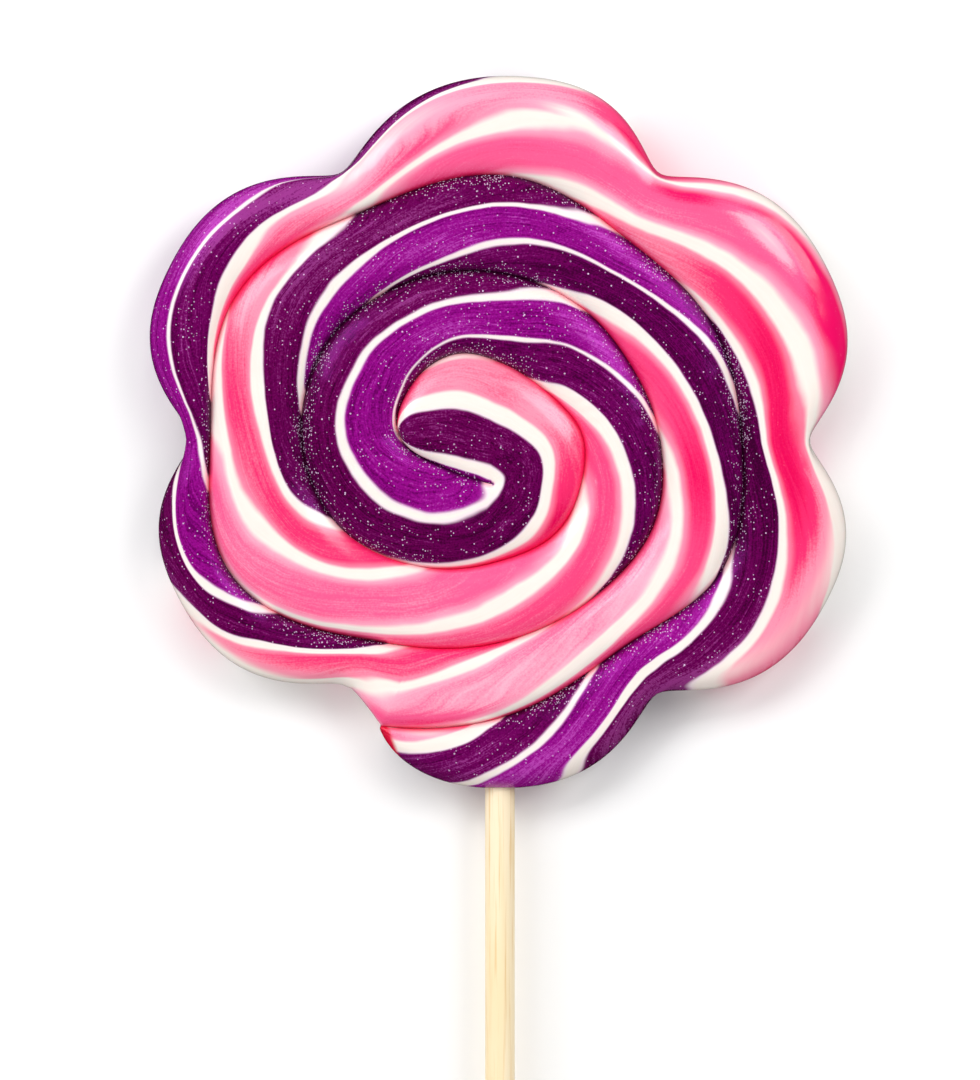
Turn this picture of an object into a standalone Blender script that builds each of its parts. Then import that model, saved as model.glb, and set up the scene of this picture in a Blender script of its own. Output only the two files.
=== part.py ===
"""Flower-shaped swirl lollipop: a rope of boiled sugar coiled inwards and pressed flat, on a bamboo stick.

It lies on its flat back with the swirl up. The origin is the middle of the back, +Z points out of the
swirl, and the stick runs along -Y. Directions in the plane of the swirl are in degrees from +X towards +Y.
"""

import math

import bmesh
import bpy
import numpy as np

MM = 0.001

# The sweet's thickness, from its flat back to the crest of the rope
THICKNESS = 10.0 * MM
RIM_HEIGHT = 4.8 * MM  # where the rounded edge stands out furthest
RIM_WIDTH = 4.6 * MM  # how far in from the edge the rope reaches its crest
RIM_SHARE = 0.6  # most of the rope's width that its rounded edge may take
UNDER_WIDTH = 2.2 * MM  # how far the edge is rounded in under the sweet
UNDER_SHARE = 0.7  # most of the rope's width that this may take
SEAM_DEPTH = 2.1 * MM  # groove between two turns of the rope
FULL_WIDTH = 9.0 * MM  # a rope narrower than this is lower too
CREST_IN_COIL = 0.5  # where the crest is between two seams, as a share of the rope's width
EDGE_SQUARENESS = 2.4  # 2 would be a half-round rope, more is flatter on top
SEAM_SQUARENESS = 2.9  # beside the seams

# The flower's six petals and the notches between them, as (direction, millimetres from the middle)
PETALS = ((26, 48.9), (85, 47.6), (154, 49.4), (207, 48.5), (270, 47.9), (333, 49.3))
NOTCHES = ((-1.5, 41.2), (58.5, 40.4), (121.5, 40.5), (181, 41.0), (239, 39.6), (301, 40.8))
PETAL_FULLNESS = 2.9  # how broad a petal's end is
NOTCH_ROUNDNESS = 1.5  # how soft the bottom of a notch is

# The rope starts at its cut tail and runs inwards with the direction growing. The seam on its inner side is
# given opposite each petal and each notch, one row for each turn, from the petal that holds the tail.
TAIL = 248
TAIL_SEAM = 42.3
TAIL_DRAWN_IN = 0.65 * MM  # how far the tail's outer corner is rounded off
TAIL_CORNER = 2  # degrees over which it is
RUN_IN = 12  # degrees over which the edge rises to the seam as it reaches the tail
RUN_IN_BEND = 1.5  # 1 would be a straight line from the notch to the tail
NOTCH_BEFORE_TAIL = 4
SEAM_STATIONS = (268, 300, 329, 360, 387, 416, 448, 481, 513, 540, 567, 600)
SEAM_TURNS = (  # millimetres from the middle
    (38.5, 33.0, 34.8, 32.2, 31.8, 30.9, 34.4, 34.8, 39.7, 38.6, 40.6, 32.2),
    (28.2, 25.2, 23.9, 21.2, 19.7, 20.0, 21.3, 23.6, 26.1, 26.5, 25.1, 20.6),
    (17.2, 15.2, 12.7, 10.9, 8.9, 8.3, 9.4, 12.3, 13.5, 13.5, 9.2, 6.9),
)

# In the middle the rope doubles back round the seam's end, and tapers away beside the seam
HOOK = 1260
SEAM_END = 1340
SEAM_END_RADIUS = 6.7
DOUBLED_BACK = 1540
LAST = 1620
SEAM_END_HEIGHT = 9.3 * MM

# Stick: a round bamboo rod, pushed into the edge of the lowest petal half way up its thickness
STICK_RADIUS = 2.0 * MM
STICK_LENGTH = 180.0 * MM
STICK_INSIDE = 46.0 * MM
STICK_END_ROUND = 0.3 * MM
STICK_END_SEGMENTS = 2
STICK_HEIGHT = 5.0 * MM
GAP = 0.3 * MM
MOUTH = -47.9 * MM  # where the stick goes in, at the petal's edge

# Facets
STEP = 4  # degrees of coil between two sections of the rope
ROWS = 8  # strips across the rope
UNDER_ROWS = 4  # strips from the edge down to the back
STICK_SIDES = 32
MERGE = 0.01 * MM
SHARP_EDGE = 45  # degrees


def clear_scene():
    for obj in list(bpy.data.objects):
        bpy.data.objects.remove(obj)


def new_collection(name):
    collection = bpy.data.collections.new(name)
    bpy.context.scene.collection.children.link(collection)
    return collection


def move_to(obj, collection):
    for owner in list(obj.users_collection):
        owner.objects.unlink(obj)
    collection.objects.link(obj)


def plain_material(name, colour, roughness):
    material = bpy.data.materials.new(name)
    material.use_nodes = True
    shader = material.node_tree.nodes["Principled BSDF"]
    shader.inputs["Base Color"].default_value = (*colour, 1)
    shader.inputs["Roughness"].default_value = roughness
    shader.inputs["Metallic"].default_value = 0
    return material


def smooth_through(stations, values, at):
    """The cubic curve through the values, with its slope at each station taken from the neighbours."""
    stations = np.array(stations, float)
    values = np.array(values, float)
    slopes = np.gradient(values, stations)
    k = np.clip(np.searchsorted(stations, at, side="right") - 1, 0, len(stations) - 2)
    span = stations[k + 1] - stations[k]
    u = np.clip((at - stations[k]) / span, 0, 1)
    rise = u * u * (3 - 2 * u)
    bend = span * u * (1 - u) * ((1 - u) * slopes[k] - u * slopes[k + 1])
    return values[k] * (1 - rise) + values[k + 1] * rise + bend


def flower_radius(direction):
    """The flower's edge: from each notch it swells to the petals on either side."""
    first = NOTCHES[0][0]
    direction = np.mod(direction - first, 360) + first
    marks = []
    for (petal, reach), (notch, waist) in zip(PETALS, NOTCHES):
        marks += [(notch, waist, False), (petal, reach, True)]
    marks.append((NOTCHES[0][0] + 360, NOTCHES[0][1], False))
    radius = np.zeros_like(direction, dtype=float)
    for (a, near, a_is_petal), (b, far, _) in zip(marks, marks[1:]):
        part = np.clip((direction - a) / (b - a), 0, 1)
        from_notch = 1 - part if a_is_petal else part
        notch, petal = (far, near) if a_is_petal else (near, far)
        swell = (1 - (1 - from_notch) ** PETAL_FULLNESS) ** NOTCH_ROUNDNESS
        radius = np.where((direction >= a) & (direction <= b), notch + (petal - notch) * swell, radius)
    return radius * MM


def seam_radius(turn):
    """The seam on the rope's inner side, at a coil angle counted on through the turns."""
    stations = [TAIL]
    radii = [TAIL_SEAM]
    for number, row in enumerate(SEAM_TURNS):
        stations += [station + 360 * number for station in SEAM_STATIONS]
        radii += row
    return smooth_through(stations + [SEAM_END], radii + [SEAM_END_RADIUS], np.minimum(turn, SEAM_END)) * MM


def edge_radius(turn):
    """The edge of the outer turn: the flower, rounded off at the tail, and run in to the tail at its end."""
    drawn_in = TAIL_DRAWN_IN * np.exp(-(turn - TAIL) / TAIL_CORNER)
    direction, waist = NOTCHES[NOTCH_BEFORE_TAIL]
    part = np.clip((turn - direction - 360) / (TAIL - direction), 0, 1)
    run_in = (waist + (TAIL_SEAM - waist) * part**RUN_IN_BEND) * MM
    return np.where(part > 0, run_in, flower_radius(turn) - drawn_in)


def in_plane(turn, radius):
    angle = np.radians(turn)
    return np.stack([radius * np.cos(angle), radius * np.sin(angle)], axis=-1)


def seam_height(turn):
    """The groove's bottom, which rises to nearly the crest where the seam ends."""
    part = np.clip((turn - HOOK) / (SEAM_END - HOOK), 0, 1)
    return THICKNESS - SEAM_DEPTH + (SEAM_END_HEIGHT - THICKNESS + SEAM_DEPTH) * part


def rope_sections(turn):
    """Outer and inner end of every section across the rope, in the plane, and the heights there."""
    outside = turn < TAIL + 360
    outer_turn = np.maximum(turn - 360, TAIL)
    outer = in_plane(turn, np.where(outside, edge_radius(turn), seam_radius(outer_turn)))
    # Past the seam's end the inner side stands still, then goes back along the seam
    inner_turn = np.minimum(turn, SEAM_END) - np.maximum(turn - DOUBLED_BACK, 0)
    inner = in_plane(inner_turn, seam_radius(inner_turn))
    running_in = np.clip((turn - (TAIL + 360) + RUN_IN) / RUN_IN, 0, 1)
    rim = RIM_HEIGHT + (seam_height(turn) - RIM_HEIGHT) * running_in
    outer_height = np.where(outside, rim, seam_height(outer_turn))
    return outer, inner, outer_height, seam_height(inner_turn), running_in


def rope_surface(turn):
    """The top of the rope: sections with a crest, falling to the seam or the edge on either side."""
    outer, inner, outer_height, inner_height, _ = rope_sections(turn)
    width = np.linalg.norm(outer - inner, axis=1)
    across = (1 - np.cos(np.pi * np.arange(ROWS + 1) / ROWS)) / 2
    lowering = SEAM_DEPTH * (1 - np.minimum(width / FULL_WIDTH, 1)) ** 2
    crest = (THICKNESS - lowering)[:, None]
    outside = turn < TAIL + 360
    rim_share = np.minimum(RIM_WIDTH / np.maximum(width, MM), RIM_SHARE)
    crest_at = np.where(outside, rim_share, CREST_IN_COIL)[:, None]
    to_crest = np.where(across < crest_at, 1 - across / crest_at, (across - crest_at) / (1 - crest_at))
    at_edge = outside[:, None] & (across < crest_at)
    squareness = np.where(at_edge, EDGE_SQUARENESS, SEAM_SQUARENESS)
    rise = (1 - np.clip(to_crest, 0, 1) ** squareness) ** (1 / squareness)
    foot = np.where(across < crest_at, outer_height[:, None], inner_height[:, None])
    points = np.empty((len(turn), ROWS + 1, 3))
    points[..., :2] = outer[:, None] + (inner - outer)[:, None] * across[:, None]
    points[..., 2] = foot + (crest - foot) * rise
    # The rope's inner end is a point on the seam
    points[-1] = [*outer[-1], outer_height[-1]]
    return points


def under_edge(turn):
    """The quarter-round from the edge of the outer turn down to the back, one row of points a station."""
    outer, inner, outer_height, _, running_in = rope_sections(turn)
    outward = outer / np.linalg.norm(outer, axis=1, keepdims=True)
    under = np.minimum(UNDER_WIDTH, UNDER_SHARE * np.linalg.norm(outer - inner, axis=1))
    bend = np.radians(90 * np.arange(1, UNDER_ROWS + 1) / UNDER_ROWS)
    inset = (under * (1 - running_in))[:, None] * (1 - np.cos(bend))
    points = np.empty((len(turn), UNDER_ROWS, 3))
    points[..., :2] = outer[:, None] - outward[:, None] * inset[..., None]
    points[..., 2] = outer_height[:, None] * (1 - np.sin(bend))
    return points


def add_strips(bm, grid):
    """Quads between each two rows of a grid of vertices."""
    for row, following in zip(grid, grid[1:]):
        for a, b, c, d in zip(row, row[1:], following[1:], following):
            bm.faces.new((a, b, c, d))


def make_candy(collection):
    """The pressed rope as one closed body: its top, rounded edge, cut tail and flat back."""
    turn = np.arange(TAIL, LAST + 1, STEP, dtype=float)
    outer_turn = turn[turn <= TAIL + 360]
    bm = bmesh.new()
    top = [[bm.verts.new(point) for point in row] for row in rope_surface(turn)]
    edge = [[bm.verts.new(point) for point in row] for row in under_edge(outer_turn)]
    add_strips(bm, top)
    add_strips(bm, [[row[0], *below] for row, below in zip(top, edge)])
    tail_end = top[0][::-1] + edge[0] + edge[-1][::-1]
    bm.faces.new(tail_end)
    bm.faces.new([row[-1] for row in edge])
    # Neighbouring turns share the seam between them
    bmesh.ops.remove_doubles(bm, verts=bm.verts, dist=MERGE)
    bmesh.ops.recalc_face_normals(bm, faces=bm.faces)
    mesh = bpy.data.meshes.new("candy")
    bm.to_mesh(mesh)
    bm.free()
    candy = bpy.data.objects.new("candy", mesh)
    collection.objects.link(candy)
    mesh.shade_smooth()
    mesh.set_sharp_from_angle(angle=math.radians(SHARP_EDGE))
    return candy


def add_rod(name, radius, start, end, collection):
    """A round rod along Y at the stick's height, between two places on Y."""
    bpy.ops.mesh.primitive_cylinder_add(
        vertices=STICK_SIDES,
        radius=radius,
        depth=abs(start - end),
        location=(0, (start + end) / 2, STICK_HEIGHT),
        rotation=(math.radians(90), 0, 0),
    )
    rod = bpy.context.object
    rod.name = name
    rod.data.name = name
    move_to(rod, collection)
    return rod


def make_stick(collection):
    inner_end = MOUTH + STICK_INSIDE
    stick = add_rod("stick", STICK_RADIUS, inner_end, inner_end - STICK_LENGTH, collection)
    ends = stick.modifiers.new("rounded_ends", "BEVEL")
    ends.width = STICK_END_ROUND
    ends.segments = STICK_END_SEGMENTS
    ends.limit_method = "ANGLE"
    stick.data.shade_smooth()
    stick.data.set_sharp_from_angle(angle=math.radians(SHARP_EDGE))
    return stick


def cut_socket(candy, collection):
    """The hole that the stick is pushed into, open at the petal's edge."""
    clear_of_edge = 20 * MM
    inner_end = MOUTH + STICK_INSIDE + GAP
    cutter = add_rod("socket", STICK_RADIUS + GAP, inner_end, MOUTH - clear_of_edge, collection)
    cutter.hide_render = True
    cutter.display_type = "WIRE"
    cut = candy.modifiers.new("socket", "BOOLEAN")
    cut.operation = "DIFFERENCE"
    cut.object = cutter


clear_scene()
lollipop = new_collection("lollipop")
cutters = new_collection("cutters")
candy_object = make_candy(lollipop)
stick_object = make_stick(lollipop)
cut_socket(candy_object, cutters)
candy_object.data.materials.append(plain_material("boiled_sugar", (0.85, 0.12, 0.30), 0.12))
stick_object.data.materials.append(plain_material("bamboo", (0.93, 0.80, 0.56), 0.55))
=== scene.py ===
"""Looks of a flower-shaped swirl lollipop, lying on its flat back with the swirl up.

Metres. The origin is the middle of the coil on the back, +Z points out of the swirl, and the stick runs
along -Y. Directions in the plane of the swirl are in degrees from +X towards +Y.
"""

import math

import bpy
import numpy as np
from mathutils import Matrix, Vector


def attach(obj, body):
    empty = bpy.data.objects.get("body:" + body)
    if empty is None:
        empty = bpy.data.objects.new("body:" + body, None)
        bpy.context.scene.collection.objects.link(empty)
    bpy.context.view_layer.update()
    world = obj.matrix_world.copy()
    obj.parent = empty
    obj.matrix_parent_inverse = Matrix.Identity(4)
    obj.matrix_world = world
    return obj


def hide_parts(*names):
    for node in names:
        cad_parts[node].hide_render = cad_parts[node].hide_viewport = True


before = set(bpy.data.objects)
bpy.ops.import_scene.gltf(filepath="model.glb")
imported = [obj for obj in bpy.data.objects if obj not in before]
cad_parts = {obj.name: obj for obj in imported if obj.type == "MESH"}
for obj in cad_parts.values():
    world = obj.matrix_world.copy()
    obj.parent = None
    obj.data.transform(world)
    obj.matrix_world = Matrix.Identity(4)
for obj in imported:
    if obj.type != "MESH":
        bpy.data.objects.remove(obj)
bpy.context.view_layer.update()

# Candy
# Boiled sugar, pulled into a rope of pink, purple and cream stripes, twisted, coiled inwards for three turns
# and pressed warm on a flat plate, so that the turns fuse and the rim swells into six petals. Its mesh is one
# closed surface: the rope's top, its rounded edge, its cut tail and its flat back.

MM = 0.001
THICKNESS = 10.0 * MM  # from the flat back to the crest of the rope
RIM_HEIGHT = 4.8 * MM  # where the rounded edge stands out furthest
RIM_WIDTH = 4.6 * MM  # how far in from the edge the rope reaches its crest
RIM_SHARE = 0.6  # most of the rope's width that its rounded edge may take
UNDER_WIDTH = 2.2 * MM  # how far the edge is rounded in under the sweet
UNDER_SHARE = 0.7  # most of the rope's width that this may take
SEAM_DEPTH = 2.1 * MM  # groove between two turns of the rope
FULL_WIDTH = 9.0 * MM  # a rope narrower than this is lower too
CREST_IN_COIL = 0.5  # where the crest is between two seams, as a share of the rope's width
EDGE_SQUARENESS = 2.4  # 2 would be a half-round rope, more is flatter on top
SEAM_SQUARENESS = 2.9  # beside the seams
SEAM_OPENNESS = 0.955  # 1 would be a seam with upright walls at its bottom
BACK_GROOVE = 0.5 * MM  # depth of the seams on the back
BACK_GROOVE_STARTS = 15  # degrees past the tail
BACK_GROOVE_SHARPNESS = 8  # more is narrower
UNEVENNESS = 0.16 * MM  # how far the rope's top is from an even crest

# The flower's six petals and the notches between them, as (direction, millimetres from the middle)
PETALS = ((26, 48.9), (85, 47.6), (154, 49.4), (207, 48.5), (270, 47.9), (333, 49.3))
NOTCHES = ((-1.5, 41.2), (58.5, 40.4), (121.5, 40.5), (181, 41.0), (239, 39.6), (301, 40.8))
PETAL_FULLNESS = 2.9  # how broad a petal's end is
NOTCH_ROUNDNESS = 1.5  # how soft the bottom of a notch is
NOTCH_SOFTNESS = 1.6  # degrees over which the edge is averaged
STRIPE_SOFTNESS = 6.5  # degrees over which it is averaged for the stripes behind the notches
BEND_DEPTH = 0.2  # share of the rope's width at which those stripes are moved most
BEND_STARTS = 15  # degrees past the tail over which this sets in
BEND_ENDS, BEND_FADES = 345, 20  # degrees past the tail where it ends, and over which it fades

# The rope starts at its cut tail and runs inwards with the coil angle growing
TAIL = 248  # coil angle of the cut tail, at the petal above the stick
TAIL_SEAM = 42.3  # mm from the middle
TAIL_DRAWN_IN = 0.65  # mm, how far the tail's outer corner is rounded off
TAIL_CORNER = 2  # degrees over which it is
NEAR_TAIL = 12  # degrees past the tail within which the cut counts
CUT_START, CUT_END = (-15.9, -39.17), (-14.93, -41.94)  # mm, the two ends of the cut across the tail
CUT_ROUNDING = 2.0  # mm over which the top rounds down to the cut
CUT_LEAD = 0.5  # mm of them that lie past the cut
FAR = 9  # mm, a distance from a seam or the cut at which it no longer shows
RUN_IN = 12  # degrees over which the edge rises to the seam as it reaches the tail
RUN_IN_BEND = 1.5  # 1 would be a straight line from the notch to the tail
NOTCH_BEFORE_TAIL = 4
SEAM_STATIONS = (268, 300, 329, 360, 387, 416, 448, 481, 513, 540, 567, 600)
SEAM_TURNS = (  # the seam on the rope's inner side, mm from the middle, one row for each turn
    (38.5, 33.0, 34.8, 32.2, 31.8, 30.9, 34.4, 34.8, 39.7, 38.6, 40.6, 32.2),
    (28.2, 25.2, 23.9, 21.2, 19.7, 20.0, 21.3, 23.6, 26.1, 26.5, 25.1, 20.6),
    (17.2, 15.2, 12.7, 10.9, 8.9, 8.3, 9.4, 12.3, 13.5, 13.5, 9.2, 6.9),
)
# In the middle: where the seam starts to rise, where it ends, where the rope's inner side goes back along it,
# and where the rope ends
HOOK, SEAM_END, DOUBLED_BACK, LAST = 1260, 1340, 1540, 1620
SEAM_END_RADIUS = 6.7  # mm
SEAM_END_HEIGHT = 9.3 * MM

# The cream stripes, from the tail inwards: the coil angle of each one's middle at 20, 55, 90, 125 and 160
# degrees round the rope's half-round top, from its outer side to its inner, and its width there in degrees.
# The first lies before the tail, and only leads into the pattern.
STRIPE_PLACES = (20, 55, 90, 125, 160)
STRIPES = (
    ((216, 221, 228, 240, 247), (6, 6, 6, 6, 6)),
    ((250, 251, 254.5, 261, 267), (4, 5, 6, 9, 7)),
    ((263.5, 268, 275.5, 285, 291), (3, 2.5, 3, 3, 3)),
    ((281.5, 284, 298.5, 318.5, 330.5), (4, 5, 8.5, 6.5, 5)),
    ((308, 311.5, 332, 366, 392.5), (5, 7, 9, 9, 11)),
    ((343, 365, 384, 421, 439), (36, 10, 17, 14, 16)),
    ((400, 425.5, 451, 476.5, 484), (12, 6, 12.5, 8, 9)),
    ((447, 481, 492, 510, 529), (17, 6, 7, 13, 11)),
    ((482, 508, 537, 545, 549.5), (1.5, 3, 3, 3, 3)),
    ((542.5, 550.5, 566, 572.5, 577), (4, 5, 4.5, 4, 3.5)),
    ((567, 573, 582, 597, 603.5), (5, 4.5, 4.5, 6, 5)),
    ((589, 600.5, 607.5, 622, 638), (22, 7, 8, 14, 13)),
    ((624, 650, 673.5, 698, 714.5), (10, 24, 13, 13, 16)),
    ((683, 697, 729, 765.5, 785), (9, 18, 12, 20, 15)),
    ((731, 751, 788, 821.5, 850), (8, 6, 5.5, 6, 7)),
    ((784, 797, 846, 870.5, 889), (8, 6.5, 9, 7, 7)),
    ((848, 860, 889.5, 918, 928), (8, 7, 14, 7.5, 6)),
    ((888, 906.5, 926, 948, 957), (27, 8, 14, 13, 11)),
    ((936, 965, 993, 1027, 1043), (12, 14, 21, 21, 18)),
    ((1016, 1037, 1065, 1098, 1130), (10, 14, 19, 36, 22)),
    ((1086, 1107, 1140, 1192.5, 1256), (8, 6, 6.5, 9, 12)),
    ((1144, 1165, 1310, 1338, 1343), (12, 10, 24, 13, 8)),
)
# Where the stripes run along the rope: the pattern at those places, as a number of stripes, by coil angle, or
# None where it follows from the stripes above
CORE_STRIPES = (
    (497, (None, 7.9, None, None, None)),
    (522, (None, 8.08, None, None, None)),
    (1170, (None, None, 20.52, None, None)),
    (1200, (None, None, 20.76, None, None)),
    (1240, (None, None, 20.85, None, None)),
    (1280, (None, None, 20.9, None, None)),
    (1300, (21.9, 21.5, None, None, None)),
    (1320, (22.0, 21.65, None, None, None)),
    (1340, (22.15, 21.75, 21.3, None, None)),
    (1360, (22.3, 21.9, 21.5, 21.13, 20.93)),
    (1380, (22.45, 22.15, 21.62, 21.2, 20.9)),
    (1400, (22.5, 22.33, 21.72, 21.24, 20.88)),
    (1430, (22.6, 22.42, 21.75, 21.26, 20.88)),
    (1460, (22.65, 22.4, 21.75, 21.27, 20.88)),
    (1500, (22.75, 22.45, 21.8, 21.28, 20.88)),
    (1540, (22.88, 22.46, 21.8, 21.27, 20.86)),
    (1560, (22.95, 22.36, 21.7, 21.25, 20.8)),
    (1580, (22.85, 22.2, 21.6, 21.2, 20.8)),
    (1600, (22.5, 21.9, 21.5, 21.2, 20.85)),
    (1622, (22.3, 21.8, 21.5, 21.2, 20.9)),
)
CORE_CREAM = (0.16, 0.34, 0.34, 0.30, 0.26)  # share of the pattern that is cream there
CREAM_FROM, CREAM_OVER = 1110, 360  # degrees of the coil over which it grows to that
# Where the sugar is paler (above 0) or deeper (below), partly its own uneven colour and partly painted
# highlights
# and painted shade: coil angle, angle round the rope, how far it reaches along and round the rope, how much
TINTS_AND_PAINTED_LIGHT = (
    (256, 150, 9, 34, 1.6), (280, 60, 30, 60, 0.8), (308, 45, 14, 28, 1.0), (316, 130, 18, 24, 0.8),
    (326, 60, 20, 36, 0.9), (330, 130, 60, 60, -0.3), (346, 24, 17, 34, 1.9), (352, 82, 16, 24, -0.9),
    (376, 108, 20, 22, -0.7), (382, 32, 20, 26, -2.2), (396, 57, 9, 9, 2.0), (410, 140, 20, 40, 0.8),
    (413, 56, 8, 14, -1.2), (426, 36, 8, 16, -1.2), (436, 40, 14, 26, 0.7), (436, 60, 8, 10, 1.6),
    (452, 100, 24, 30, -0.2), (465, 165, 25, 16, -0.8), (468, 52, 20, 30, 1.35), (486, 80, 14, 32, 1.2),
    (500, 35, 20, 16, 0.9), (500, 165, 18, 18, -1.0), (503, 60, 9, 12, 1.6), (505, 125, 25, 30, 0.4),
    (560, 100, 20, 60, -0.1), (582, 18, 17, 27, 2.0), (590, 40, 22, 34, 0.8), (614, 34, 14, 18, -1.2),
    (625, 80, 30, 60, 0.65), (655, 110, 25, 60, 0.4), (680, 110, 16, 30, 0.8), (706, 100, 22, 32, -0.9),
    (720, 40, 60, 40, -0.3), (740, 165, 22, 16, -0.7), (760, 130, 25, 25, -0.1), (778, 45, 22, 15, 1.1),
    (780, 110, 50, 30, -0.3), (832, 110, 28, 18, 0.8), (835, 60, 26, 24, 0.7), (866, 60, 16, 40, 0.8),
    (892, 60, 16, 20, -0.1), (905, 85, 35, 40, 0.3), (925, 40, 16, 30, 0.2), (935, 70, 30, 70, 0.05),
    (975, 60, 26, 60, 0.3), (1018, 165, 20, 18, -0.7), (1050, 110, 25, 30, 0.1), (1100, 140, 25, 25, 0.4),
    (1128, 50, 20, 16, 0.9), (1200, 55, 30, 20, 0.8), (1200, 108, 28, 18, 0.8), (1384, 30, 16, 34, -0.9),
    (1480, 50, 50, 45, 1.0), (1560, 110, 60, 40, 0.2), (1570, 45, 40, 35, 0.8),
)
STRAIGHTER = 0.3  # how much less the stripes slant at the seams and over the edge
BACK_TWIST = 2.5  # stripes that the back crosses between two seams

ROWS = 40  # strips across the rope's top
UNDER_ROWS = 12  # strips round its edge
BACK_EVERY = 4  # the back has one strip for so many on top
WELD = 1e-7  # metres, points that agree to this are one
SHARP_ANGLE = 60  # degrees between faces, above which the edge stays sharp
ROPE_UNIT = 30  # degrees of the coil to one unit of the material's rope map


def smooth_through(stations, values, at):
    """The cubic curve through the values, with its slope at each station taken from the neighbours."""
    stations = np.array(stations, float)
    values = np.array(values, float)
    slopes = np.gradient(values, stations)
    k = np.clip(np.searchsorted(stations, at, side="right") - 1, 0, len(stations) - 2)
    span = stations[k + 1] - stations[k]
    u = np.clip((at - stations[k]) / span, 0, 1)
    rise = u * u * (3 - 2 * u)
    bend = span * u * (1 - u) * ((1 - u) * slopes[k] - u * slopes[k + 1])
    return values[k] * (1 - rise) + values[k + 1] * rise + bend


def flower_radius(direction):
    """The flower's edge: notch + (petal - notch) * (1 - (1 - u)^fullness)^roundness, where u goes from 0 at a
    notch to 1 at the petal beside it."""
    direction = np.mod(direction - NOTCHES[0][0], 360) + NOTCHES[0][0]
    marks = []
    for (petal, reach), (notch, waist) in zip(PETALS, NOTCHES):
        marks += [(notch, waist, False), (petal, reach, True)]
    marks.append((NOTCHES[0][0] + 360, NOTCHES[0][1], False))
    radius = np.zeros_like(direction)
    for (a, near, a_is_petal), (b, far, _) in zip(marks, marks[1:]):
        part = np.clip((direction - a) / (b - a), 0, 1)
        from_notch = 1 - part if a_is_petal else part
        notch, petal = (far, near) if a_is_petal else (near, far)
        swell = (1 - (1 - from_notch) ** PETAL_FULLNESS) ** NOTCH_ROUNDNESS
        radius = np.where((direction >= a) & (direction <= b), notch + (petal - notch) * swell, radius)
    return radius * MM


def averaged(radius_at, turn, spread):
    """A radius averaged over directions up to three spreads to each side, each weighted by
    exp(-(offset / spread)^2)."""
    offsets = np.linspace(-3, 3, 9)
    weights = np.exp(-(offsets**2))
    weights /= np.sum(weights)
    return sum(weight * radius_at(turn + offset * spread) for weight, offset in zip(weights, offsets))


def seam_radius(turn):
    """Distance of the seam on the rope's inner side from the middle, smooth through the table of turns."""
    stations = [TAIL]
    radii = [TAIL_SEAM]
    for number, row in enumerate(SEAM_TURNS):
        stations += [station + 360 * number for station in SEAM_STATIONS]
        radii += row
    return smooth_through(stations + [SEAM_END], radii + [SEAM_END_RADIUS], np.minimum(turn, SEAM_END)) * MM


def edge_radius(turn):
    """The outer turn's edge: the flower less drawn_in * exp(-angle past the tail / corner), and from the last
    notch waist + (tail - waist) * part^bend."""
    drawn_in = TAIL_DRAWN_IN * MM * np.exp(-(turn - TAIL) / TAIL_CORNER)
    direction, waist = NOTCHES[NOTCH_BEFORE_TAIL]
    part = np.clip((turn - direction - 360) / (TAIL - direction), 0, 1)
    run_in = (waist + (TAIL_SEAM - waist) * part**RUN_IN_BEND) * MM
    rounded = averaged(flower_radius, turn, NOTCH_SOFTNESS)
    return np.where(part > 0, run_in, rounded - drawn_in)


def in_plane(turn, radius):
    """Point at a direction and a distance: (r cos, r sin)."""
    return np.stack([radius * np.cos(np.radians(turn)), radius * np.sin(np.radians(turn))], axis=-1)


def toward_seam_end(turn):
    """0 before the hook, 1 at the seam's end, linear between."""
    return np.clip((turn - HOOK) / (SEAM_END - HOOK), 0, 1)


def seam_height(turn):
    """The groove's bottom, which rises to nearly the crest where the seam ends."""
    low = THICKNESS - SEAM_DEPTH
    return low + (SEAM_END_HEIGHT - low) * toward_seam_end(turn)


def groove_height(turn):
    """The groove on the back, full from a little past the tail to the hook, and gone at the seam's end."""
    return BACK_GROOVE * np.clip((turn - TAIL) / BACK_GROOVE_STARTS, 0, 1) * (1 - toward_seam_end(turn))


def pattern_at(turn):
    """The pattern of stripes and its cream share at the five places, each smooth along the coil: the value n
    is the middle of cream stripe n, and the share is its width over the distance to the next stripes."""
    places, shares = [], []
    for k, core_cream in enumerate(CORE_CREAM):
        middles = [row[0][k] for row in STRIPES]
        widths = [row[1][k] for row in STRIPES]
        creamy = list(zip(middles, widths / np.gradient(middles)))
        numbers = list(range(len(STRIPES)))
        for coil_angle, row in CORE_STRIPES:
            if row[k] is not None:
                middles.append(coil_angle)
                numbers.append(row[k])
                if coil_angle > CREAM_FROM:
                    creamy.append((coil_angle, core_cream * min((coil_angle - CREAM_FROM) / CREAM_OVER, 1)))
        places.append(smooth_through(*zip(*sorted(zip(middles, numbers))), turn))
        shares.append(smooth_through(*zip(*sorted(creamy)), turn))
    return np.stack(places, axis=1), np.stack(shares, axis=1)


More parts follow.
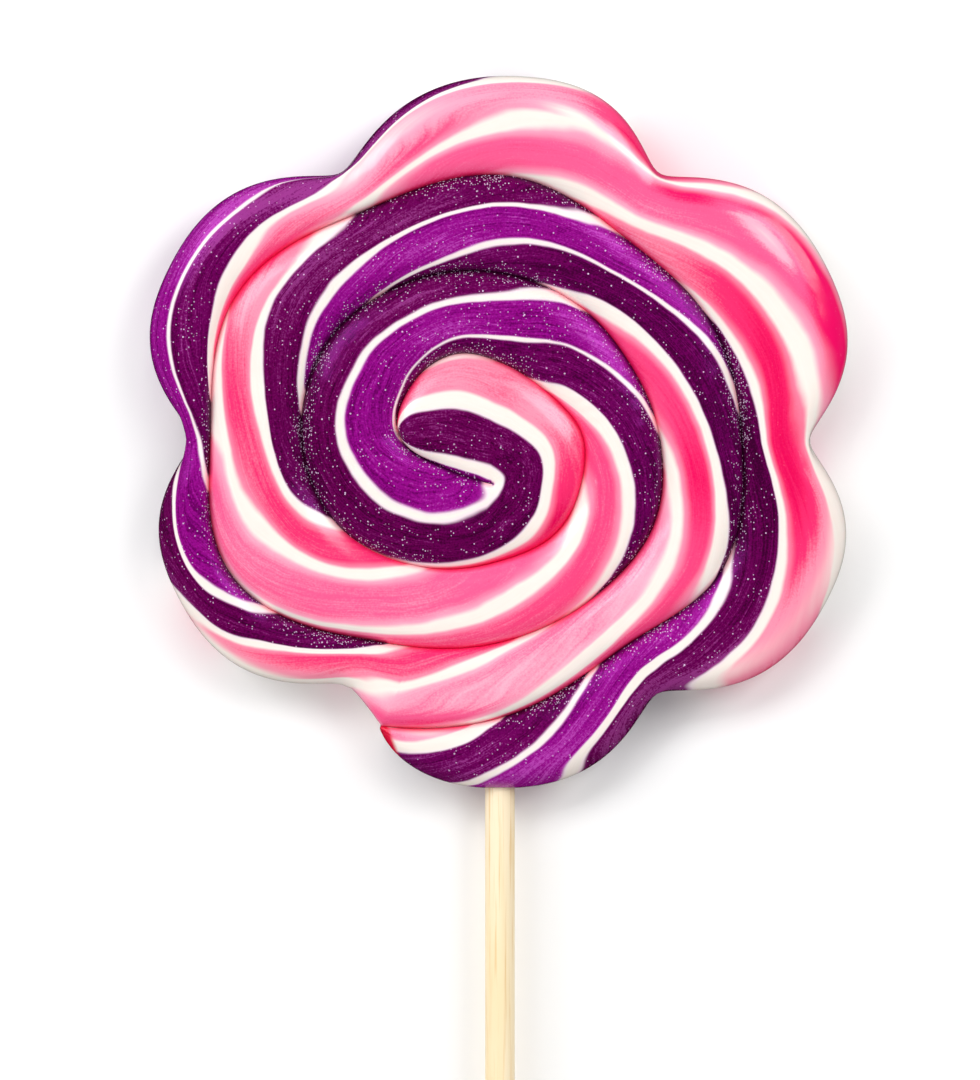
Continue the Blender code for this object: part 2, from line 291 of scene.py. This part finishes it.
def across_rope(values, psi):
    """Values at the five places carried smoothly to any angle psi round the rope: a cubic between two places
    with slopes from their neighbours, and a straight line beyond the first and last."""
    step = STRIPE_PLACES[1] - STRIPE_PLACES[0]
    slopes = np.gradient(values, axis=1)
    s = np.broadcast_to((psi - STRIPE_PLACES[0]) / step, (len(values), np.shape(psi)[-1]))
    k = np.clip(np.floor(s).astype(int), 0, len(STRIPE_PLACES) - 2)
    u = np.clip(s - k, 0, 1)
    row = np.arange(len(values))[:, None]
    rise = u * u * (3 - 2 * u)
    bend = u * (1 - u) * ((1 - u) * slopes[row, k] - u * slopes[row, k + 1])
    inside = values[row, k] * (1 - rise) + values[row, k + 1] * rise + bend
    before, after = np.minimum(s, 0), np.maximum(s - len(STRIPE_PLACES) + 1, 0)
    return inside + STRAIGHTER * (slopes[:, :1] * before + slopes[:, -1:] * after)


def grid_triangles(first, rows, columns, reverse):
    """Two triangles for each cell of a grid whose vertices are numbered row by row from first."""
    corner = first + np.arange(rows - 1)[:, None] * columns + np.arange(columns - 1)
    a, b, c, d = corner, corner + columns, corner + columns + 1, corner + 1
    if reverse:
        b, d = d, b
    return np.stack([a, b, c, a, c, d], axis=-1).reshape(-1, 3)


# Every degree of the coil, and more closely at the tail's rounded end and beside it on the next turn
close_by = np.array([0.15, 0.4, 0.8, 1.3])
turn = np.sort(np.concatenate([np.arange(TAIL, LAST + 1.0), TAIL + close_by, TAIL + 360 + close_by]))
outside = turn < TAIL + 360
outer_turn = np.maximum(turn - 360, TAIL)
outer = in_plane(turn, np.where(outside, edge_radius(turn), seam_radius(outer_turn)))
# Past the seam's end the inner side stands still, then goes back along the seam
inner_turn = np.minimum(turn, SEAM_END) - np.maximum(turn - DOUBLED_BACK, 0)
inner_turn = np.where(outside, inner_turn, np.floor(inner_turn))
inner = in_plane(inner_turn, seam_radius(inner_turn))
running_in = np.clip((turn - (TAIL + 360) + RUN_IN) / RUN_IN, 0, 1)
rim = RIM_HEIGHT + (seam_height(turn) - RIM_HEIGHT) * running_in
outer_height = np.where(outside, rim, seam_height(outer_turn))
inner_height = seam_height(inner_turn)

# Top: z = foot + (crest - foot) * (1 - t^squareness)^(1/squareness), t from 0 at the crest to 1 at the foot
psi = np.linspace(0, 180, ROWS + 1)
across = (1 - np.cos(np.radians(psi))) / 2
width = np.linalg.norm(outer - inner, axis=1)
lowering = SEAM_DEPTH * (1 - np.minimum(width / FULL_WIDTH, 1)) ** 2
crest = (THICKNESS - lowering)[:, None]
rim_share = np.minimum(RIM_WIDTH / np.maximum(width, MM), RIM_SHARE)
crest_at = np.where(outside, rim_share, CREST_IN_COIL)[:, None]
to_crest = np.where(across < crest_at, 1 - across / crest_at, (across - crest_at) / (1 - crest_at))
squareness = np.where(outside[:, None] & (across < crest_at), EDGE_SQUARENESS, SEAM_SQUARENESS)
# Beside a seam, t stops short of 1 and the rise is stretched to 0 there, so that the seam's sides lean back
reach = np.where(outside[:, None] & (across < crest_at), 1, SEAM_OPENNESS)
rise = (1 - (reach * np.clip(to_crest, 0, 1)) ** squareness) ** (1 / squareness)
lowest = (1 - reach**squareness) ** (1 / squareness)
rise = np.clip((rise - lowest) / (1 - lowest), 0, 1)
outward = outer / np.linalg.norm(outer, axis=1, keepdims=True)
top_xy = outer[:, None] + (inner - outer)[:, None] * across[:, None]
# Behind the notches the stripes bend less sharply than the edge: the points there are moved outwards by
# (edge averaged more - edge) * (1 - across) * d^2 * (3 - 2 d), with d = across / BEND_DEPTH, at most 1
past_tail = turn - TAIL
soft_edge = averaged(flower_radius, turn, STRIPE_SOFTNESS) - averaged(flower_radius, turn, NOTCH_SOFTNESS)
soft_edge *= np.clip(past_tail / BEND_STARTS, 0, 1) * np.clip((BEND_ENDS - past_tail) / BEND_FADES, 0, 1)
depth_in = np.clip(across / BEND_DEPTH, 0, 1)
behind = (1 - across) * depth_in**2 * (3 - 2 * depth_in)
top_xy += (outward * soft_edge[:, None])[:, None] * behind[:, None]
# Millimetres from the cut across the tail, for the rope's first degrees: the top rounds over towards it
cut = np.subtract(CUT_END, CUT_START)
inward = np.array([-cut[1], cut[0]]) / np.linalg.norm(cut)
from_cut = np.where(turn[:, None] < TAIL + NEAR_TAIL, (top_xy / MM - CUT_START) @ inward, FAR)
tail_part = np.clip((from_cut + CUT_LEAD) / CUT_ROUNDING, 0, 1)
rise *= np.sqrt(1 - (1 - tail_part) ** 2)
foot = np.where(across < crest_at, outer_height[:, None], inner_height[:, None])
# The hand-pulled rope's unevenness: slow and quick waves along it times others round it
slow = np.sin(0.31 * turn)[:, None] * np.sin(0.045 * psi + 0.9)
quick = np.sin(0.83 * turn + 1.1)[:, None] * np.sin(0.09 * psi)
uneven = UNEVENNESS * (0.5 + 0.3 * slow + 0.2 * quick) * np.sin(np.radians(psi)) ** 2
uneven *= 1 - toward_seam_end(turn)[:, None]
top = np.empty((len(turn), ROWS + 1, 3))
top[..., :2] = top_xy
top[..., 2] = foot + (crest - foot) * rise - uneven * tail_part
top[-1] = [*outer[-1], outer_height[-1]]

# Edge: a quarter-round from the rim down to the back, x = 1 - cos, z = 1 - sin
edge_count = int(np.sum(turn <= TAIL + 360))
bend = np.radians(90 * np.arange(UNDER_ROWS + 1) / UNDER_ROWS)
under = np.minimum(UNDER_WIDTH, UNDER_SHARE * width) * (1 - running_in)
inset = under[:, None] * (1 - np.cos(bend))
edge = np.empty((edge_count, UNDER_ROWS + 1, 3))
edge[..., :2] = (outer[:, None] - outward[:, None] * inset[..., None])[:edge_count]
edge[..., 2] = (outer_height[:, None] * (1 - np.sin(bend)))[:edge_count]

# Back: flat, with a groove of height (1 - across)^sharpness on the outer side and across^sharpness inside
back_across = across[::BACK_EVERY]
back_outer = outer - outward * inset[:, -1:]
back = np.empty((len(turn), len(back_across), 3))
back[..., :2] = back_outer[:, None] + (inner - back_outer)[:, None] * back_across[:, None]
outer_groove = np.where(outside, 0, groove_height(outer_turn))[:, None]
inner_groove = groove_height(inner_turn)[:, None]
back[..., 2] = outer_groove * (1 - back_across) ** BACK_GROOVE_SHARPNESS
back[..., 2] += inner_groove * back_across**BACK_GROOVE_SHARPNESS
back[-1] = [*outer[-1], outer_groove[-1, 0]]

# The pattern on each part. The stripes go over the edge and on round the back.
places, shares = pattern_at(turn)
rim_psi = -np.degrees(bend)
top_pattern = across_rope(places, psi)
edge_pattern = across_rope(places, rim_psi)[:edge_count]
back_pattern = across_rope(places, np.array([-90.0])) + BACK_TWIST * back_across
top_cream = across_rope(shares, psi)
edge_cream = np.repeat(top_cream[:edge_count, :1], UNDER_ROWS + 1, axis=1)
back_cream = np.repeat(top_cream[:, :1], len(back_across), axis=1)
parts = (
    (top, top_pattern, top_cream, np.broadcast_to(psi, top.shape[:2]), False),
    (edge, edge_pattern, edge_cream, np.broadcast_to(rim_psi, edge.shape[:2]), True),
    (back, back_pattern, back_cream, np.broadcast_to(180 * back_across, back.shape[:2]), True),
)
triangles, first = [], 0
for points, *_, reverse in parts:
    triangles.append(grid_triangles(first, *points.shape[:2], reverse))
    first += points.shape[0] * points.shape[1]
triangles = np.concatenate(triangles)
# The cut's own face goes round the first section: over the top to the rim, down the edge, along the back, and
# up where the outer turn's edge ends. Turned round at the end, it points outwards.
edge_first, back_first = top[..., 0].size, top[..., 0].size + edge[..., 0].size
tail_end = np.concatenate(
    [
        np.arange(ROWS + 1)[::-1],
        edge_first + np.arange(1, UNDER_ROWS + 1),
        back_first + np.arange(1, len(back_across)),
        edge_first + (edge_count - 1) * (UNDER_ROWS + 1) + np.arange(1, UNDER_ROWS)[::-1],
    ]
)[::-1]

# Weld what the parts share: the seams, the rim and the seam's end
all_points = np.concatenate([part[0].reshape(-1, 3) for part in parts])
grid_points = np.round(all_points / WELD).astype(np.int64)
_, kept, welded = np.unique(grid_points, axis=0, return_index=True, return_inverse=True)
welded = welded.ravel()
shared = welded[triangles]
whole = (shared[:, 0] != shared[:, 1]) & (shared[:, 1] != shared[:, 2]) & (shared[:, 2] != shared[:, 0])
triangles = triangles[whole]
candy_mesh = bpy.data.meshes.new("candy")
candy_mesh.from_pydata(all_points[kept], [], [*shared[whole].tolist(), welded[tail_end].tolist()])
corners = np.concatenate([triangles.ravel(), tail_end])


def at_corners(grids):
    """A value for each grid vertex of the three parts, read off at every corner of the mesh's faces."""
    return np.concatenate([grid.ravel() for grid in grids])[corners]


def corner_map(name, u, v):
    """A UV map from two values for each grid vertex."""
    uv = np.stack([at_corners(u), at_corners(v)], axis=-1)
    candy_mesh.uv_layers.new(name=name).data.foreach_set("uv", uv.astype(np.float32).ravel())


def corner_value(name, values):
    """An attribute with one number for each corner."""
    candy_mesh.attributes.new(name, "FLOAT", "CORNER").data.foreach_set("value", values.astype(np.float32))


turns = [np.broadcast_to(turn[: len(points), None], points.shape[:2]) for points, *_ in parts]
round_psi = [part[3] for part in parts]
corner_map("stripes", [part[1] for part in parts], [part[2] for part in parts])
corner_map("rope", [angles / ROPE_UNIT for angles in turns], [angles / 180 for angles in round_psi])
# Distances in millimetres from the nearest seam, for the shade painted into the creases, and from the cut,
# whose own face is red all over
to_outer_seam = np.where(outside[:, None], FAR * MM, width[:, None] * across)
from_seam = np.minimum(to_outer_seam, width[:, None] * (1 - across)) / MM
far = [np.full(points.shape[:2], FAR) for points, *_ in parts[1:]]
corner_value("from_seam", at_corners([from_seam, *far]))
on_grid = np.arange(len(corners)) < triangles.size
corner_value("from_cut", np.where(on_grid, at_corners([from_cut, *far]), 0))
all_turns, all_psi = at_corners(turns), at_corners(round_psi)
# The tints, partly painted highlights and painted shade, summed at each corner
tint_and_painted_light = sum(
    amount * np.exp(-(((all_turns - at) / length) ** 2) - ((all_psi - angle) / spread) ** 2)
    for at, angle, length, spread, amount in TINTS_AND_PAINTED_LIGHT
)
corner_value("tint_and_painted_light", tint_and_painted_light)
candy_mesh.shade_smooth()
candy_mesh.set_sharp_from_angle(angle=math.radians(SHARP_ANGLE))
candy_mesh.validate()

# Display colours out of 255. Six colours take turns between the cream stripes as the pattern's number grows:
# dark purple, violet, dark purple, pink, pale pink and pink. Each goes from deep over middle to pale.
DEEP = ((64, 0, 50), (98, 0, 88), (58, 0, 44), (228, 0, 84), (236, 10, 98), (234, 0, 90))
MIDDLE = ((104, 2, 84), (144, 12, 132), (98, 0, 76), (244, 48, 110), (247, 92, 144), (246, 70, 126))
PALE = ((148, 54, 134), (178, 66, 172), (138, 50, 122), (250, 146, 172), (251, 176, 198), (250, 158, 184))
CREAM_DULL, CREAM_CLEAR, CREAM_BY_PURPLE = (240, 227, 218), (247, 238, 232), (238, 216, 230)
# Painted highlight: pink washed out to near cream
PAINTED_HIGHLIGHT_PINK = (250, 238, 230)
# Painted shade: the colours that the creases between the turns are painted with
CREASE_SHADE_CREAM, CREASE_SHADE_PINK, CREASE_SHADE_PURPLE = (244, 160, 175), (240, 6, 84), (44, 0, 30)
CUT_RED = (222, 20, 62)
# Painted glint: the pale colour of light glinting on bubbles and grains of sugar
PAINTED_GLINT = (236, 205, 238)
PLAIN_SHINE, PURPLE_SHINE = (1, 1, 1, 1), (0.65, 0.08, 0.75, 1)  # what colours the light shining in the sugar

candy_material = bpy.data.materials.new("boiled_sugar")
candy_material.use_nodes = True
tree = candy_material.node_tree
sugar = tree.nodes["Principled BSDF"]


def feed(socket, value):
    """Links a socket or sets a plain value."""
    if isinstance(value, bpy.types.NodeSocket):
        tree.links.new(value, socket)
    else:
        socket.default_value = value


def maths(operation, *values):
    """One operation on the values."""
    node = tree.nodes.new("ShaderNodeMath")
    node.operation = operation
    for socket, value in zip(node.inputs, values):
        feed(socket, value)
    return node.outputs[0]


def plus(a, b):
    """a + b."""
    return maths("ADD", a, b)


def minus(a, b):
    """a - b."""
    return maths("SUBTRACT", a, b)


def times(a, b):
    """a * b."""
    return maths("MULTIPLY", a, b)


def ramp_up(value, low, high):
    """0 below low, 1 above high, and s^2 * (3 - 2 s) between, s being the share of the way."""
    node = tree.nodes.new("ShaderNodeMapRange")
    node.interpolation_type = "SMOOTHSTEP"
    for name, v in (("Value", value), ("From Min", low), ("From Max", high)):
        feed(node.inputs[name], v)
    return node.outputs[0]


def mix(share, a, b):
    """The colour a * (1 - share) + b * share."""
    node = tree.nodes.new("ShaderNodeMix")
    node.data_type = "RGBA"
    for name, v in (("Factor_Float", share), ("A_Color", a), ("B_Color", b)):
        feed(next(s for s in node.inputs if s.identifier == name), v)
    return next(s for s in node.outputs if s.identifier == "Result_Color")


def noise(vector, scale, detail=2.0, roughness=0.5):
    """Smooth random values about 0.5, with so many waves to a unit of the vector."""
    node = tree.nodes.new("ShaderNodeTexNoise")
    feed(node.inputs["Vector"], vector)
    node.inputs["Scale"].default_value = scale
    node.inputs["Detail"].default_value = detail
    node.inputs["Roughness"].default_value = roughness
    return node.outputs[0]


def combined(x, y, z):
    """A vector from three values."""
    node = tree.nodes.new("ShaderNodeCombineXYZ")
    for socket, value in zip(node.inputs, (x, y, z)):
        feed(socket, value)
    return node.outputs[0]


def uv_parts(name):
    """Both values of a UV map."""
    node = tree.nodes.new("ShaderNodeUVMap")
    node.uv_map = name
    split = tree.nodes.new("ShaderNodeSeparateXYZ")
    tree.links.new(node.outputs[0], split.inputs[0])
    return split.outputs[0], split.outputs[1]


def attribute(name):
    """A value that the mesh carries under that name."""
    node = tree.nodes.new("ShaderNodeAttribute")
    node.attribute_name = name
    return node.outputs["Fac"]


def linear(colour):
    """A display colour out of 255 as light: ((part / 255 + 0.055) / 1.055)^2.4."""
    return (*[((part / 255 + 0.055) / 1.055) ** 2.4 for part in colour], 1.0)


def sector_colours(colours):
    """The colour of each of the six stripes between the cream ones, by their place in the pattern."""
    node = tree.nodes.new("ShaderNodeValToRGB")
    node.color_ramp.interpolation = "CONSTANT"
    elements = node.color_ramp.elements
    while len(elements) < len(colours):
        elements.new(1.0)
    for k, colour in enumerate(colours):
        elements[k].position = k / len(colours)
        elements[k].color = linear(colour)
    cycle = maths("FRACT", maths("DIVIDE", minus(pattern, 1), len(colours)))
    tree.links.new(cycle, node.inputs[0])
    return node.outputs[0]


place, cream_share = uv_parts("stripes")
along_rope, _ = uv_parts("rope")
where = tree.nodes.new("ShaderNodeTexCoord").outputs["Object"]
seam_distance = attribute("from_seam")

# The stripes' edges waver a little
pattern = plus(place, times(minus(noise(where, 160, 2), 0.5), 0.10))
off_cream = maths("ABSOLUTE", minus(pattern, maths("ROUND", pattern)))
half = times(cream_share, 0.5)


def streaks(along, across, detail, seed):
    """Noise drawn out along the stripes, with so many waves to a unit of the rope map and to a stripe."""
    return noise(combined(times(along_rope, along), times(pattern, across), seed), 1.0, detail, 0.6)


fine = streaks(1.2, 14, 4, 0.0)
broad = streaks(0.5, 4, 3, 7.0)
hair_and_glint_noise = streaks(3.0, 42, 2, 3.0)
deep, middle, pale = sector_colours(DEEP), sector_colours(MIDDLE), sector_colours(PALE)
hue = tree.nodes.new("ShaderNodeSeparateColor")
tree.links.new(middle, hue.inputs[0])
is_purple = minus(1, ramp_up(hue.outputs["Red"], 0.3, 0.5))
is_pink = minus(1, is_purple)
tint_and_painted_light_value = attribute("tint_and_painted_light")
# How deep or pale the sugar is: streaky, the purple more so and a little deeper, and tinted as listed above,
# painted highlights and shade included
drawn = minus(plus(times(fine, 0.8), times(broad, 0.8)), 0.8)
drawn = times(drawn, plus(1.0, times(is_purple, 1.9)))
drawn = plus(drawn, minus(0.12, times(is_purple, 0.42)))
# The purple is grainy, with fine dark and light hairs along the stripes, the light ones partly painted glints
# on the pulled rope's ridges
grain = minus(noise(where, 3800, 1), 0.5)
hairs_and_ridge_glints = minus(hair_and_glint_noise, 0.5)
rough_part = plus(times(grain, 2.2), times(hairs_and_ridge_glints, 2.8))
rough_part = times(rough_part, plus(0.25, times(is_purple, 0.75)))
level = plus(plus(drawn, tint_and_painted_light_value), rough_part)
coloured = mix(ramp_up(level, 0.1, 1.2), mix(ramp_up(level, -1.1, 0.1), deep, middle), pale)
# The colour thins out towards the cream: the purple within a hair's breadth, the pink over a broader margin
margin = plus(0.05, times(is_pink, 0.15))
thin = minus(1, ramp_up(off_cream, half, plus(half, margin)))
coloured = mix(times(thin, plus(0.45, times(is_pink, 0.35))), coloured, pale)
# Painted highlight: where the tints are highest, the pink is painted washed out to cream, as under the
# strongest light
highlight_strength = plus(tint_and_painted_light_value, times(minus(fine, 0.5), 0.3))
with_painted_highlight = mix(times(ramp_up(highlight_strength, 1.0, 2.2), is_pink), coloured, linear(PAINTED_HIGHLIGHT_PINK))
cream = mix(fine, linear(CREAM_DULL), linear(CREAM_CLEAR))
by_purple = times(is_purple, ramp_up(off_cream, minus(half, 0.06), half))
cream = mix(times(by_purple, 0.8), cream, linear(CREAM_BY_PURPLE))
softness = plus(0.025, times(is_pink, 0.02))
is_colour = ramp_up(off_cream, minus(half, softness), plus(half, softness))
striped = mix(is_colour, cream, with_painted_highlight)
# Painted shade: the sugar is painted darker in the creases between the turns, where shade falls
crease_shade_share = minus(1, ramp_up(seam_distance, 0.0, 0.7))
crease_shade_colour = mix(is_purple, linear(CREASE_SHADE_PINK), linear(CREASE_SHADE_PURPLE))
crease_shade_colour = mix(is_colour, linear(CREASE_SHADE_CREAM), crease_shade_colour)
with_crease_shade = mix(times(crease_shade_share, 0.8), striped, crease_shade_colour)
# The cut across the tail is red
on_cut = minus(1, ramp_up(attribute("from_cut"), 0.5, 1.2))
with_crease_shade = mix(on_cut, with_crease_shade, linear(CUT_RED))


def dots(scale, size, share):
    """Bright dots in a random share of the cells of that scale: 1 near a cell's middle and 0 beyond the size,
    times 0.35 to 1 at random."""
    cells = tree.nodes.new("ShaderNodeTexVoronoi")
    tree.links.new(where, cells.inputs["Vector"])
    cells.inputs["Scale"].default_value = scale
    chance = tree.nodes.new("ShaderNodeSeparateColor")
    tree.links.new(cells.outputs["Color"], chance.inputs[0])
    chosen = maths("LESS_THAN", chance.outputs["Red"], share)
    dot = minus(1, ramp_up(cells.outputs["Distance"], size * 0.6, size))
    strength = plus(0.35, times(chance.outputs["Green"], 0.65))
    return times(times(dot, chosen), strength)


# Painted glints: pale dots for light glinting on tiny bubbles and grains of sugar in the purple, most of them
# beside the seams
beside_seam = minus(1, ramp_up(seam_distance, 0.5, 2.2))
clusters = ramp_up(noise(where, 110, 2), 0.45, 0.65)
bubble_glints = dots(1300, 0.19, 0.22)
speck_glints = dots(2900, 0.33, plus(0.06, times(clusters, 0.16)))
seam_glints = dots(3500, 0.42, times(beside_seam, plus(0.25, times(clusters, 0.5))))
painted_glint = maths("MAXIMUM", maths("MAXIMUM", bubble_glints, speck_glints), seam_glints)
painted_glint = times(painted_glint, times(plus(times(is_purple, 0.94), 0.06), is_colour))
feed(sugar.inputs["Base Color"], mix(times(painted_glint, 0.85), with_crease_shade, linear(PAINTED_GLINT)))
# The clear purple lends its colour to what shines in it
shine = mix(times(is_purple, is_colour), PLAIN_SHINE, PURPLE_SHINE)
feed(sugar.inputs["Specular Tint"], shine)
sugar.inputs["Roughness"].default_value = 0.18
sugar.inputs["IOR"].default_value = 1.5
sugar.inputs["Specular IOR Level"].default_value = 0.5
sugar.inputs["Subsurface Weight"].default_value = 0.12
sugar.inputs["Subsurface Radius"].default_value = (1.0, 0.35, 0.4)
sugar.inputs["Subsurface Scale"].default_value = 0.0012
# Shallow ripples of the pulled rope, and finer ones along the streaks
ripples = plus(times(fine, 0.5), times(noise(where, 260, 2), 0.9))
hair_bump = times(hairs_and_ridge_glints, plus(0.1, times(is_purple, 0.25)))
seam_grit = times(times(grain, beside_seam), times(is_purple, 0.5))
ripples = plus(ripples, plus(hair_bump, seam_grit))
bump = tree.nodes.new("ShaderNodeBump")
bump.inputs["Distance"].default_value = 0.12 * MM
bump.inputs["Strength"].default_value = 0.6
tree.links.new(plus(ripples, times(painted_glint, 0.4)), bump.inputs["Height"])
tree.links.new(bump.outputs[0], sugar.inputs["Normal"])

candy_mesh.materials.append(candy_material)
candy = bpy.data.objects.new("swirl", candy_mesh)
bpy.context.scene.collection.objects.link(candy)
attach(candy, "root")
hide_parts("candy")

# Stick
# A round rod of split bamboo, 4 mm thick, sanded, pushed half way up into the lowest petal while the sugar
# is warm. It is a profile of rings along the rod with rounded ends, and the bamboo's fibres run along it.

STICK_RADIUS = 2.0 * MM
STICK_TOP, STICK_FOOT = -1.9 * MM, -181.9 * MM  # where it ends along Y, inside the sweet and outside
STICK_HEIGHT = 5.0 * MM  # of the rod's middle above the flat back
STICK_END_ROUND = 0.35 * MM
STICK_SIDES = 96
STICK_RINGS = 120  # along the rod
STICK_END_RINGS = 6  # round the edge of each end
STICK_SHARP_ANGLE = 50  # degrees
FIBRE_RELIEF = 0.008 * MM  # height of each of the two waves that make the fibres
# Display colours out of 255
BAMBOO_DULL, BAMBOO_CLEAR, FIBRE_BROWN = (244, 222, 178), (248, 231, 198), (232, 200, 146)

# Rounded ends: y = 1 - cos and r = 1 - sin, times the rounding, from the end face to the rod's side
corner = np.radians(np.linspace(0, 90, STICK_END_RINGS))
end_y = STICK_END_ROUND * (1 - np.cos(corner))
end_r = STICK_RADIUS - STICK_END_ROUND * (1 - np.sin(corner))
middle_y = np.linspace(STICK_FOOT + STICK_END_ROUND, STICK_TOP - STICK_END_ROUND, STICK_RINGS)[1:-1]
ring_y = np.concatenate([STICK_FOOT + end_y, middle_y, (STICK_TOP - end_y)[::-1]])
ring_r = np.concatenate([end_r, np.full(len(middle_y), STICK_RADIUS), end_r[::-1]])
angle = np.radians(np.arange(STICK_SIDES) * 360 / STICK_SIDES)
# The fibres: two sines round the rod, one of which turns a little along it, never past the rod's radius
fibre = FIBRE_RELIEF * (np.sin(7 * angle + 0.5) + np.sin(11 * angle + 2 * np.sin(40 * ring_y[:, None])))
rod_radius = np.minimum(ring_r[:, None] + fibre - 2 * FIBRE_RELIEF, ring_r[:, None])
rod = np.empty((*rod_radius.shape, 3))
rod[..., 0] = rod_radius * np.cos(angle)
rod[..., 1] = ring_y[:, None]
rod[..., 2] = STICK_HEIGHT + rod_radius * np.sin(angle)
# Quads between neighbouring rings, and a face on each end
side = np.arange(STICK_SIDES)
ring = np.arange(len(ring_y) - 1)[:, None] * STICK_SIDES
beside = (side + 1) % STICK_SIDES
quads = [ring + side, ring + STICK_SIDES + side, ring + STICK_SIDES + beside, ring + beside]
quads = np.stack(quads, axis=-1).reshape(-1, 4)
foot_end = side
top_end = (len(ring_y) - 1) * STICK_SIDES + side[::-1]
stick_mesh = bpy.data.meshes.new("stick")
stick_mesh.from_pydata(rod.reshape(-1, 3), [], [*quads.tolist(), foot_end.tolist(), top_end.tolist()])
stick_mesh.shade_smooth()
stick_mesh.set_sharp_from_angle(angle=math.radians(STICK_SHARP_ANGLE))

stick_material = bpy.data.materials.new("bamboo")
stick_material.use_nodes = True
tree = stick_material.node_tree  # from here on, the functions above add their nodes to the stick's material
bamboo = tree.nodes["Principled BSDF"]
where = tree.nodes.new("ShaderNodeTexCoord").outputs["Object"]


def drawn_out(scale, detail, roughness=0.5):
    """Noise drawn out along the rod, with so many waves to a metre across and along it."""
    node = tree.nodes.new("ShaderNodeMapping")
    node.inputs["Scale"].default_value = scale
    tree.links.new(where, node.inputs["Vector"])
    return noise(node.outputs[0], 1.0, detail, roughness)


grain_noise = drawn_out((2600, 60, 2600), 3, 0.6)
tone = mix(ramp_up(drawn_out((300, 25, 300), 2), 0.35, 0.65), linear(BAMBOO_DULL), linear(BAMBOO_CLEAR))
feed(bamboo.inputs["Base Color"], mix(ramp_up(grain_noise, 0.5, 0.72), tone, linear(FIBRE_BROWN)))
bamboo.inputs["Roughness"].default_value = 0.55
stick_bump = tree.nodes.new("ShaderNodeBump")
stick_bump.inputs["Distance"].default_value = 0.06 * MM
stick_bump.inputs["Strength"].default_value = 0.5
tree.links.new(grain_noise, stick_bump.inputs["Height"])
tree.links.new(stick_bump.outputs[0], bamboo.inputs["Normal"])

stick_mesh.materials.append(stick_material)
stick = bpy.data.objects.new("bamboo_stick", stick_mesh)
bpy.context.scene.collection.objects.link(stick)
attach(stick, "root")
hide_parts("stick")

# Floor, light and camera
# A plain white table under the sweet. Soft lights to the upper left and the upper right shine in the sugar,
# and weaker ones towards the top, the bottom and the lower left only fill the shade, as the white room does.
# The camera is a long lens that looks almost straight down, from a little beyond the flower's top edge.

FLOOR_SIZE = 3.0  # metres from the middle to each side
FLOOR_WHITE = 0.93
ROOM_BRIGHTNESS = 0.14
VIEW_HEIGHT = 144.7 * MM  # of the picture, at the sweet
VIEW_TILT = 5  # degrees from straight down
VIEW_DISTANCE = 0.9
VIEW_TARGET = (-1.34 * MM, -14.47 * MM, 5 * MM)

floor_mesh = bpy.data.meshes.new("floor")
floor_corners = [(x * FLOOR_SIZE, y * FLOOR_SIZE, 0) for x, y in ((-1, -1), (1, -1), (1, 1), (-1, 1))]
floor_mesh.from_pydata(floor_corners, [], [(0, 1, 2, 3)])
floor_material = bpy.data.materials.new("floor")
floor_material.use_nodes = True
paint = floor_material.node_tree.nodes["Principled BSDF"]
paint.inputs["Base Color"].default_value = (FLOOR_WHITE, FLOOR_WHITE, FLOOR_WHITE, 1)
paint.inputs["Roughness"].default_value = 0.9
paint.inputs["Specular IOR Level"].default_value = 0.1
floor_mesh.materials.append(floor_material)
floor = bpy.data.objects.new("floor", floor_mesh)
bpy.context.scene.collection.objects.link(floor)
floor.visible_glossy = False  # so that the sweet's rim isn't washed out by the floor's reflection


def soft_light(name, place, width, height, watts, shines=True):
    """A rectangular lamp at a place, turned towards the middle: its -Z points there and its Y is up."""
    data = bpy.data.lights.new(name, "AREA")
    data.shape = "RECTANGLE"
    data.size, data.size_y = width, height
    data.energy = watts
    lamp = bpy.data.objects.new(name, data)
    bpy.context.scene.collection.objects.link(lamp)
    lamp.visible_glossy = shines
    lamp.location = place
    lamp.rotation_euler = (-Vector(place)).to_track_quat("-Z", "Y").to_euler()


soft_light("top", (-0.15, 0.55, 0.75), 0.7, 0.25, 3.2, shines=False)
soft_light("upper_left", (-0.66, 0.42, 0.58), 0.4, 0.75, 4.8)
soft_light("upper_right", (0.62, 0.44, 0.60), 0.4, 0.8, 5.6)
soft_light("bottom", (0.15, -0.80, 0.50), 1.0, 0.4, 3.0, shines=False)
soft_light("lower_left", (-0.80, -0.30, 0.45), 0.4, 0.6, 2.2, shines=False)
world = bpy.data.worlds.new("studio")
world.use_nodes = True
world.node_tree.nodes["Background"].inputs[0].default_value = (1, 1, 1, 1)
world.node_tree.nodes["Background"].inputs[1].default_value = ROOM_BRIGHTNESS
bpy.context.scene.world = world
world.cycles_visibility.glossy = False  # so that the dark purple stays clear
bpy.context.scene.view_settings.view_transform = "Standard"

tilt = math.radians(VIEW_TILT)
camera_data = bpy.data.cameras.new("camera")
camera_data.sensor_fit = "VERTICAL"
camera_data.angle = 2 * math.atan(VIEW_HEIGHT / 2 / VIEW_DISTANCE)
camera = bpy.data.objects.new("camera", camera_data)
bpy.context.scene.collection.objects.link(camera)
camera.location = np.array(VIEW_TARGET) + VIEW_DISTANCE * np.array([0, math.sin(tilt), math.cos(tilt)])
camera.rotation_euler = (-tilt, 0, 0)
bpy.context.scene.camera = camera
